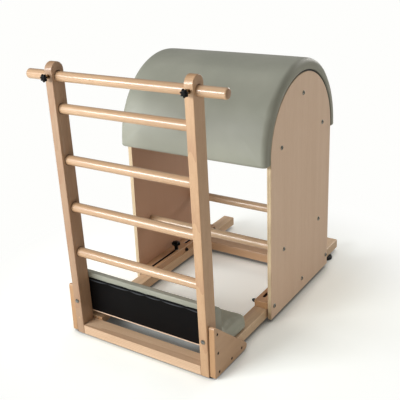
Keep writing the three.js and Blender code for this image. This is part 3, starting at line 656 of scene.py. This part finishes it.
def swollen(piece, held, reach):
    # a cloth cover under air pressure, held where it is stapled; no point moves further than the reach
    mesh = piece.data
    start = meshPoints(mesh)
    group = piece.vertex_groups.new(name="held")
    group.add(np.flatnonzero(held).tolist(), 1.0, "REPLACE")
    cloth = piece.modifiers.new("swelling", "CLOTH")
    for key, value in swelling.items():
        setattr(cloth.settings, key, value)
    cloth.settings.vertex_group_mass = "held"
    cloth.settings.effector_weights.gravity = 0
    cloth.collision_settings.use_collision = False
    cloth.point_cache.frame_start, cloth.point_cache.frame_end = 1, swellingFrames
    scene = bpy.context.scene
    for frameNumber in range(1, swellingFrames + 1):
        scene.frame_set(frameNumber)
    graph = bpy.context.evaluated_depsgraph_get()
    result = bpy.data.meshes.new_from_object(piece.evaluated_get(graph))
    shift = meshPoints(result) - start
    bpy.data.meshes.remove(result)
    length = np.linalg.norm(shift, axis=1)
    shift *= np.minimum(1, reach / np.maximum(length, 1e-9))[:, None]
    piece.modifiers.remove(cloth)
    piece.vertex_groups.remove(group)
    movePoints(mesh, start + shift)
    scene.frame_set(1)
    print(piece.name, "swelled by up to", round(float(np.linalg.norm(shift, axis=1).max()) * 1000, 2), "mm")


padSeam = {"inset": 0.0045, "depth": 0.0009, "width": 0.0011}


def seamed(piece, centre, half):
    # a sewn groove round each end: points near the seam's place along X are drawn towards the pad's
    # middle line, by a bell curve of their distance from the seam
    points = meshPoints(piece.data)
    away = np.abs(points[:, 0] - centre[0]) - (half - padSeam["inset"])
    pull = padSeam["depth"] * np.exp(-(away / padSeam["width"]) ** 2)
    inward = centre[None, 1:] - points[:, 1:]
    points[:, 1:] += inward / np.maximum(np.linalg.norm(inward, axis=1), 0.01)[:, None] * pull[:, None]
    movePoints(piece.data, points)


def softFinish(piece):
    smooth = piece.modifiers.new("smooth", "SUBSURF")
    smooth.levels = smooth.render_levels = 1


knobTurn = next(joint for joint in frame["joints"] if joint["name"] == "head_knob_left_turn")
leanAngle = np.arctan2(-knobTurn["axis"][2], -knobTurn["axis"][1])
leanTurn = np.array(Matrix.Rotation(leanAngle, 3, "X"))


def leaned(points):
    # from the ladder's own upright directions to the room's
    return points @ leanTurn.T


def leanBox(node):
    # a solid's lowest and highest corner along the ladder's own directions
    own = meshPoints(frame["nodes"][node].data) @ leanTurn
    return own.min(axis=0), own.max(axis=0)


flatPad = {
    "planRadius": 0.029,      # rounding of the corners seen from above
    "endRadius": 0.017,
    "footRadius": 0.004,
    "corners": (0.004, 0.012, 0.012, 0.004),
    "crown": 0.0025,
    "drawIn": 0.0015,
    "slack": 0.002,           # room left for the swelling
    "standOff": 0.0,          # gap to the board
    "reach": 0.004,
    "heldBelow": 0.003,       # the strip beside the board that is stapled down
    "fill": 0.85,
}
uprightPad = {
    "planRadius": 0.006,
    "endRadius": 0.009,
    "footRadius": 0.004,
    "corners": (0.006, 0.012, 0.034, 0.003),
    "crown": 0.0015,
    "drawIn": 0.001,
    "slack": 0.0015,
    "standOff": 0.0006,
    "reach": 0.0022,
    "heldBelow": 0.003,
    "heldEnd": 0.0015,        # its end caps are held too
    "fill": 0.85,
}


def makeFootPad(pad, shape, material, turn):
    # the pad's grid in the middle of the room that its solid has, in the pad's own directions: along X,
    # across Y and with its crown up Z; turn brings these to the room's
    own = meshPoints(frame["nodes"][pad + "_cushion"].data) @ turn.T
    low, high = own.min(axis=0) + (0, 0, shape["standOff"]), own.max(axis=0)
    size = high - low - shape["slack"]
    grid = padGrid(size[0], size[1], size[2] - shape["crown"], shape)
    centre = (low + high) / 2 - (0, 0, (shape["crown"] + shape["slack"]) / 2)
    points, faces = closedGrid(grid[::-1] + centre)
    piece = makeMesh(pad + "_cover", points @ turn, faces, material, "frame", "vinyl", pad + "_cushion")
    held = points[:, 2] < low[2] + shape["heldBelow"]
    if "heldEnd" in shape:
        held = held | (np.abs(points[:, 0] - centre[0]) > size[0] / 2 - shape["heldEnd"])
    swollen(piece, held, shape["reach"])
    seamed(piece, centre @ turn, size[0] / 2)
    softFinish(piece)


def bentRound(across, travel, out, centreY, centreZ, innerRadius):
    # wraps a flat place over the arch: a half circle, then straight down past its ends
    quarterArc = innerRadius * np.pi / 2
    onArc = np.clip(travel, -quarterArc, quarterArc)
    below = np.abs(travel) - np.abs(onArc)
    angle = onArc / innerRadius
    reach = innerRadius + out
    y = centreY + reach * np.sin(angle)
    return np.stack([across, y, centreZ + reach * np.cos(angle) - below], axis=-1)


barrelPad = {
    "endRounding": 0.0125,
    "edgeRounding": 0.021,
    "innerRounding": 0.003,
    "narrowing": 0.5,         # how much of the end rounding also narrows the pad
    "crown": 0.0015,
    "slack": 0.002,
    "standOff": 0.0003,       # gap to the shell
    "sideRoom": 0.0006,
    "reach": 0.0025,
    "heldBelow": 0.004,
    "fill": 0.9,
    "rows": 112,
    "endSteps": 10,
    "sectionSteps": (9, 4, 58),
}


def makeBarrelPad():
    # a rounded section, crowned across its width, carried over the arch and thinned at both ends
    low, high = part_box("barrel_pad")
    centreY = (panelLow[1] + panelHigh[1]) / 2
    centreZ = panelHigh[2] - (panelHigh[1] - panelLow[1]) / 2
    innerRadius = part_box("backing_shell")[1][2] - centreZ + barrelPad["standOff"]
    thickness = high[2] - centreZ - innerRadius - barrelPad["crown"] - barrelPad["slack"]
    width = high[0] - low[0] - barrelPad["sideRoom"]
    halfTravel = innerRadius * np.pi / 2 + centreZ - low[2]
    inner, outer = barrelPad["innerRounding"], barrelPad["edgeRounding"]
    section = roundedOutline(width, thickness, (inner, outer, outer, inner), *barrelPad["sectionSteps"])
    travel = endStations(halfTravel, barrelPad["endRounding"], barrelPad["endSteps"], barrelPad["rows"])
    inset = endInset(travel, halfTravel, barrelPad["endRounding"])
    out = section[None, :, 1] * (1 - inset / (thickness / 2))[:, None] + thickness / 2
    across = section[None, :, 0] * (1 - inset * barrelPad["narrowing"] / (width / 2))[:, None]
    upper = np.clip(out / thickness, 0, 1)
    out = out + barrelPad["crown"] * upper * (1 - (across / (width / 2)) ** 2)
    travel = np.repeat(travel[:, None], section.shape[0], axis=1)
    points, faces = closedGrid(bentRound(across, travel, out, centreY, centreZ, innerRadius))
    piece = makeMesh("barrel_pad_cover", points, faces, sageVinyl, "barrel", "vinyl", "barrel_pad")
    swollen(piece, np.append(out.ravel() < barrelPad["heldBelow"], [True, True]), barrelPad["reach"])
    softFinish(piece)


# the upright pad stands on its long edge with its crown towards the barrel, and leans with the ladder
standing = leaned(np.array([(1.0, 0, 0), (0, 0, -1.0), (0, 1.0, 0)]))
makeFootPad("flat_pad", flatPad, flatPadPaintedLightVinyl, np.eye(3))
makeFootPad("upright_pad", uprightPad, sageVinyl, standing)
makeBarrelPad()
print("padded pieces made")


# dust cloth behind the upright pad

dustCloth = {
    "scallop": 0.0018,        # dip of the top edge between two staples
    "scallopLength": 0.083,
    "drift": 0.013,           # how unevenly the staples are set
    "driftLength": 0.31,
    "sharpness": 0.6,
    "above": 0.0045,
    "topRoom": 0.0006,
    "front": 0.0002,          # the sheet's two faces, from its solid's front face
    "back": 0.0006,
    "fold": 0.0019,
    "foldBelow": 0.0075,
    "foldSag": 0.004,
    "foldWidth": 0.0024,
    "foldLeast": 0.35,        # share of the fold that is left at a staple
    "columns": 300,
    "rows": 110,
}


def makeDustCloth():
    # a thin sheet whose top edge dips between its staples, with a slack fold hanging in low curves
    # just below it: the fold stands out by a bell curve of the height above or below its own line
    low, high = leanBox("upright_pad_cloth")
    high = high + (0, 0, dustCloth["above"])
    x = np.linspace(low[0], high[0], dustCloth["columns"])[None, :]
    share = np.linspace(0, 1, dustCloth["rows"])[:, None]
    drift = dustCloth["drift"] * np.sin(x / dustCloth["driftLength"] * fullTurn)
    staple = np.abs(np.sin((x + drift) / dustCloth["scallopLength"] * np.pi)) ** dustCloth["sharpness"]
    dip = dustCloth["scallop"] * (staple - 1)
    z = low[2] + share * (high[2] - dustCloth["topRoom"] - low[2] + dip)
    foldHeight = high[2] - dustCloth["foldBelow"] - dustCloth["foldSag"] * staple
    strength = dustCloth["foldLeast"] + (1 - dustCloth["foldLeast"]) * staple
    fold = dustCloth["fold"] * strength * np.exp(-((z - foldHeight) / dustCloth["foldWidth"]) ** 2)
    front = np.stack([x + 0 * z, low[1] + dustCloth["front"] - fold, z], axis=-1)
    back = front.copy()
    back[..., 1] = low[1] + dustCloth["back"]
    rows, columns = front.shape[:2]
    points = leaned(np.vstack([front.reshape(-1, 3), back.reshape(-1, 3)]))
    cell = gridFaces(rows, columns, closes=False)
    rim = np.concatenate([np.arange(columns), np.arange(1, rows) * columns + columns - 1,
                          (rows - 1) * columns + np.arange(columns - 2, -1, -1),
                          np.arange(rows - 2, 0, -1) * columns])
    following = np.roll(rim, -1)
    wall = np.stack([following, rim, rim + rows * columns, following + rows * columns], axis=1)
    faces = [*cell.tolist(), *(cell[:, ::-1] + rows * columns).tolist(), *wall.tolist()]
    piece = makeMesh("dust_cloth", points, faces, blackCloth, "frame", "black_cloth", "upright_pad_cloth")
    # the fold's strength, stored for the painted highlight in the cloth's colour
    slack = np.concatenate([(fold / dustCloth["fold"]).ravel(), np.zeros(fold.size)])
    piece.data.attributes.new("slack", "FLOAT", "POINT").data.foreach_set("value", slack)


makeDustCloth()
print("dust cloth made")


# star knobs

knobShape = {"lobes": 7, "valley": 0.36, "sides": 210, "bossSides": 40, "creaseAngle": 50}
bossProfile = {"heights": (0.0, 0.03, 0.4, 0.52), "radii": (0.3, 0.32, 0.28, 0.28)}
knobProfile = {
    # shares of the star's radius and of the whole height, with how much the lobes show there;
    # the first five rings are a plain foot
    "heights": (0.0, 0.02, 0.12, 0.3, 0.44, 0.5, 0.54, 0.6, 0.72, 0.84, 0.9, 0.93, 0.95, 0.985, 1.0, 1.0),
    "radii": (0.36, 0.4, 0.41, 0.45, 0.53, 0.62, 0.88, 0.97, 1.0, 0.99, 0.94, 0.86, 0.6, 0.54, 0.46, 0.2),
    "lobed": (0, 0, 0, 0, 0, 0.35, 0.8, 1, 1, 1, 1, 0.85, 0.1, 0, 0, 0),
    "footRings": 5,
}


def makeKnob(clamp, end, body, direction):
    # a turned profile whose radius dips between seven lobes over the height of the star
    node = f"{clamp}_{end}_knob"
    points = meshPoints(frame["nodes"][node].data)
    centre = meshPoints(frame["nodes"][f"{clamp}_{end}_stud"].data).mean(axis=0)
    direction = unit(direction)
    height = points @ direction
    foot = centre + direction * (height.min() - centre @ direction)
    away = points - foot - np.outer((points - foot) @ direction, direction)
    starRadius = np.linalg.norm(away, axis=1).max()
    tall = height.max() - height.min()
    lobed = np.array(knobProfile["lobed"])[:, None]

    def turned(profile, sides, wave=None):
        heights, radii = np.array(profile["heights"]) * tall, np.array(profile["radii"]) * starRadius
        return turnedGrid(heights, radii, sides, wave)

    def wave(angle):
        return 1 - lobed * knobShape["valley"] * (1 - np.cos(knobShape["lobes"] * angle)) / 2

    grid = turned(knobProfile, knobShape["sides"], wave)
    if clamp == "head_clamp":
        # a slim metal boss stands in for the plain foot
        grid = grid[knobProfile["footRings"]:]
        surface, faces = closedGrid(aim(turned(bossProfile, knobShape["bossSides"]), direction, foot))
        makeMesh(node + "_boss", surface, faces, bronzeSteel, body, "steel")
    surface, faces = closedGrid(aim(grid, direction, foot))
    piece = makeMesh(node + "_finish", surface, faces, blackPlastic, body, "black_plastic", node)
    sharpen(piece, knobShape["creaseAngle"])


for end in ("left", "right"):
    makeKnob("head_clamp", end, "head_knob_" + end, knobTurn["axis"])
    makeKnob("slider_clamp", end, "slider_knob_" + end, (0, 0, 1))
print("knobs made")


# small fasteners

def sixSided(angle):
    # a hexagon's reach by angle, as a share of its corner radius
    return np.cos(np.pi / 6) / np.cos((angle + np.pi / 6) % (np.pi / 3) - np.pi / 6)


fastenerCrease = 40


def turnedPiece(name, profile, direction, place, material, body, slotName, sides=48):
    # a profile of heights, radii and six sided shares carried round an axis and closed at both ends
    heights, radii, six = (np.array(column, float) for column in zip(*profile))
    grid = turnedGrid(heights, radii, sides, lambda angle: 1 - six[:, None] * (1 - sixSided(angle)))
    points, faces = closedGrid(aim(grid, direction, place))
    sharpen(makeMesh(name, points, faces, material, body, slotName), fastenerCrease)


panelBolt = {"radius": 0.0085, "height": 0.0042, "socket": 0.0038, "depth": 0.0018}


def makeBolt(name, place, direction, body):
    # a low domed head with a six sided socket sunk into it, whose dark colour is painted shade
    edge, tall, socket = panelBolt["radius"], panelBolt["height"], panelBolt["socket"]
    floor = tall - panelBolt["depth"]
    profile = [(-0.002, edge, 0), (0.0005, edge, 0), (tall * 0.5, edge * 0.95, 0),
               (tall * 0.8, edge * 0.78, 0), (tall * 0.96, edge * 0.56, 0), (tall, socket, 1),
               (floor, socket, 1), (floor - 0.0002, socket * 0.3, 1)]
    turnedPiece(name, profile, direction, place, panelBoltSteel, body, "steel")
    middle = np.array(place) + np.array(direction) * floor
    inset = [(-0.0006, socket * 0.9, 1), (0.0003, socket * 0.94, 1), (0.0004, socket * 0.5, 1)]
    turnedPiece(name + "_socket", inset, direction, middle, socketShadeSteel, body, "steel", 24)


capNut = {"radius": 0.0072, "washer": 0.0095, "dome": 0.005, "heights": (0.0207, 0.0115, 0.0115)}


def makeCapNut(name, place, direction, body, tall):
    # a washer, a six sided skirt and a round dome
    edge, washer, dome = capNut["radius"], capNut["washer"], tall - capNut["dome"]
    profile = [(0, 0.004, 0), (0, washer, 0), (0.0014, washer, 0), (0.0014, edge, 1), (0.0018, edge, 1),
               (dome - 0.0005, edge, 1), (dome + 0.0001, edge * 0.86, 0), (dome + 0.0017, edge * 0.78, 0),
               (dome + 0.0033, edge * 0.6, 0), (dome + 0.0044, edge * 0.36, 0), (tall, edge * 0.08, 0)]
    turnedPiece(name, profile, direction, place, blackPlastic, body, "black_plastic")


gussetScrew = {
    "radius": 0.0052,
    "proud": 0.0002,
    "places": ((0.0185, 0.164), (0.0205, 0.091), (0.0255, 0.016), (0.1095, 0.019), (0.1795, 0.021)),
}


def makeGussetScrews(end, side):
    # flat dark heads just proud of the gusset, each with a small six sided recess in its middle; their dark
    # brown is the screws' own colour and painted shade of the holes under them
    low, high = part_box("gusset_" + end)
    faceX = high[0] if side > 0 else low[0]
    reach = gussetScrew["radius"]
    profile = [(-0.003, reach * 0.5, 0), (-0.0002, reach, 0), (0.0, reach * 0.96, 0),
               (0.0001, reach * 0.42, 1), (-0.0012, reach * 0.36, 1), (-0.0013, reach * 0.1, 1)]
    for number, (back, up) in enumerate(gussetScrew["places"], start=1):
        place = (faceX + side * gussetScrew["proud"], low[1] + back, low[2] + up)
        turnedPiece(f"gusset_screw_{end}_{number}", profile, (side, 0, 0), place, screwAndHoleShade, "frame",
                    "steel", 36)


stilePlug = {"radius": 0.004, "proud": 0.0003, "height": 0.084}


def makeStilePlug(end):
    # a low wooden plug in the face of each stile's foot
    low, high = leanBox("stile_" + end)
    reach, proud = stilePlug["radius"], stilePlug["proud"]
    profile = [(-0.0004, reach * 0.98, 0), (proud * 0.4, reach, 0), (proud, reach * 0.86, 0),
               (proud, reach * 0.3, 0)]
    place = leaned(np.array([(low[0] + high[0]) / 2, low[1], stilePlug["height"]]))
    facing = leaned(np.array([0.0, -1.0, 0.0]))
    turnedPiece("stile_plug_" + end, profile, facing, place, timber["plug"], "frame", "beech", 36)


def barCentre(number):
    low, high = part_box(f"cross_bar_{number}")
    return (low[1] + high[1]) / 2, (low[2] + high[2]) / 2


sliderBolts = {"up": 0.0105, "along": (0.0225, 0.27, 0.5105)}
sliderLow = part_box("slider_right")[0]
barPlaces = [barCentre(number) for number in barNumbers]
sliderPlaces = [(sliderLow[1] + along, sliderLow[2] + sliderBolts["up"]) for along in sliderBolts["along"]]
for end, side in (("left", -1), ("right", 1)):
    for number, (y, z) in enumerate([*barPlaces, *sliderPlaces], start=1):
        makeBolt(f"panel_bolt_{end}_{number}", (side * panelHigh[0], y, z), (side, 0, 0), "barrel")
    for number, ((y, z), tall) in enumerate(zip(sliderPlaces, capNut["heights"]), start=1):
        makeCapNut(f"slider_nut_{end}_{number}", (side * sliderLow[0], y, z), (-side, 0, 0), "barrel", tall)
    makeGussetScrews(end, side)
    makeStilePlug(end)
print("fasteners made")


# floor, light and camera

studio = {
    "halfFloor": 9.0,
    "paper": "f3f1ea",
    "paperShade": "eeebe3",
    "roughness": 0.7,
    "specular": 0.1,
    "white": "fefefc",
    "brightening": (1.2, 1.27, 1.31, 1.0),    # of the floor that the camera sees
    "glow": 0.17,
    "fade": (0.45, 1.05),       # metres from the middle over which the floor turns plain white
    "nookReach": 0.1,           # how near a thing has to be for painted shade to darken the floor under it
    "nookRange": (0.25, 0.75),
    "nookShade": 0.2,
    "nookSamples": 16,
    "world": 0.315,
    "worldTint": "fdfaf6",
}


def floorMaterial():
    # paper that keeps the object's shadow; the camera sees it brighter, with painted shade in nooks, fading
    # to white
    material, tree, shader = newMaterial("floor_paper")
    output = next(node for node in tree.nodes if node.type == "OUTPUT_MATERIAL")
    speckle = noise(tree, objectPlace(tree), 3.0, 3)
    shade = ramp(tree, speckle, [(0.3, tone(studio["paperShade"])), (0.7, tone(studio["paper"]))])
    feed(tree, shader, {"Base Color": shade, "Roughness": studio["roughness"],
                        "Specular IOR Level": studio["specular"]})
    # painted shade: ambient occlusion darkens the floor's brightening and glow under things close above it
    nook = addNode(tree, "AmbientOcclusion", {"Distance": studio["nookReach"]},
                   samples=studio["nookSamples"])
    openness = ranged(tree, nook.outputs["AO"], *studio["nookRange"], studio["nookShade"], 1.0)
    lit = mixed(tree, 1.0, shade, studio["brightening"], "MULTIPLY")
    openTone = addNode(tree, "CombineColor", {0: openness, 1: openness, 2: openness})
    bright = addNode(tree, "BsdfDiffuse", {"Color": mixed(tree, 1.0, lit, openTone, "MULTIPLY")})
    glowing = maths(tree, "MULTIPLY", openness, studio["glow"])
    glow = addNode(tree, "Emission", {"Color": shade, "Strength": glowing})
    lifted = addNode(tree, "AddShader", {0: bright, 1: glow})
    white = addNode(tree, "Emission", {"Color": tone(studio["white"]), "Strength": 1.0})
    away = addNode(tree, "VectorMath", {0: objectPlace(tree, (1, 1, 0))}, operation="LENGTH")
    fade = addNode(tree, "MapRange", {"Value": away.outputs["Value"], "From Min": studio["fade"][0],
                                      "From Max": studio["fade"][1]}, interpolation_type="SMOOTHSTEP")
    faded = addNode(tree, "MixShader", {0: fade, 1: lifted, 2: white})
    rays = addNode(tree, "LightPath")
    choose = addNode(tree, "MixShader", {0: rays.outputs["Is Camera Ray"], 1: shader, 2: faded})
    feed(tree, output, {"Surface": choose})
    return material


def makeFloor():
    half = studio["halfFloor"]
    corners = [(-half, -half, 0), (half, -half, 0), (half, half, 0), (-half, half, 0)]
    mesh = bpy.data.meshes.new("floor")
    mesh.from_pydata(corners, [], [(0, 1, 2, 3)])
    mesh.materials.append(floorMaterial())
    added("floor", mesh)


def makeWorld():
    # a soft pale light all round; the camera and clear materials see plain white
    world = bpy.data.worlds.new("studio")
    bpy.context.scene.world = world
    world.use_nodes = True
    tree = world.node_tree
    tree.nodes.clear()
    output = tree.nodes.new("ShaderNodeOutputWorld")
    soft = addNode(tree, "Background", {"Color": tone(studio["worldTint"]), "Strength": studio["world"]})
    white = addNode(tree, "Background", {"Color": tone(studio["white"]), "Strength": 1.0})
    rays = addNode(tree, "LightPath")
    seen = maths(tree, "MAXIMUM", rays.outputs["Is Camera Ray"], rays.outputs["Is Transmission Ray"])
    feed(tree, output, {"Surface": addNode(tree, "MixShader", {0: seen, 1: soft, 2: white})})


lamps = {
    "key": {"place": (-2.2, -4.4, 2.2), "target": (0.0, 0.0, 0.25), "size": (3.0, 1.1),
            "power": 278, "tint": (0.94, 0.97, 1.0)},
    "low": {"place": (2.4, -1.1, 0.25), "target": (0.2, -0.2, 0.1), "size": (1.8, 0.4),
            "power": 2.5, "tint": (1.0, 0.96, 0.9)},
    "top": {"place": (-0.3, 0.2, 5.0), "target": (0.0, 0.0, 0.4), "size": (3.0, 3.0),
            "power": 22, "tint": (1.0, 0.98, 0.95)},
    "back": {"place": (0.7, 4.6, 1.9), "target": (0.0, 0.2, 0.3), "size": (2.6, 1.2),
             "power": 75, "tint": (1.0, 0.98, 0.95)},
}


def placed(item, right, up, back, place):
    # sets an object by the directions of its own X, Y and Z and by its place
    matrix = Matrix(np.stack([right, up, back], axis=1).tolist()).to_4x4()
    matrix.translation = place
    item.matrix_world = matrix


def makeLamps():
    # area lamps that look from their place towards their target
    for name, lamp in lamps.items():
        light = bpy.data.lights.new(name, "AREA")
        light.shape = "RECTANGLE"
        light.size, light.size_y = lamp["size"]
        light.energy = lamp["power"]
        light.color = lamp["tint"]
        away = unit(np.array(lamp["place"]) - lamp["target"])
        right = unit(np.cross((0, 0, 1), away))
        placed(added(name, light), right, np.cross(away, right), away, lamp["place"])


photoView = {
    "place": (1.3930, -2.2626, 1.4889),
    "yaw": 35.92,
    "pitch": 19.92,
    "roll": -3.38,
    "lens": 65.07,
    "sensor": 36,
    "shift": (0.0997, -0.0668),
}


def makeCamera():
    # yaw turns the view to the left of Y, pitch looks down and roll tilts the frame, all in degrees
    yaw, pitch, roll = (np.radians(photoView[key]) for key in ("yaw", "pitch", "roll"))
    ahead = np.array([-np.sin(yaw) * np.cos(pitch), np.cos(yaw) * np.cos(pitch), -np.sin(pitch)])
    right = np.array([np.cos(yaw), np.sin(yaw), 0])
    up = np.cross(right, ahead)
    data = bpy.data.cameras.new("photo_view")
    data.lens = photoView["lens"]
    data.sensor_width = photoView["sensor"]
    data.sensor_fit = "HORIZONTAL"
    data.shift_x, data.shift_y = photoView["shift"]
    tiltedRight = right * np.cos(roll) + up * np.sin(roll)
    tiltedUp = up * np.cos(roll) - right * np.sin(roll)
    camera = added("photo_view", data)
    placed(camera, tiltedRight, tiltedUp, -ahead, photoView["place"])
    bpy.context.scene.camera = camera


makeFloor()
makeWorld()
makeLamps()
makeCamera()
bpy.context.scene.view_settings.view_transform = "Standard"
print("studio ready")
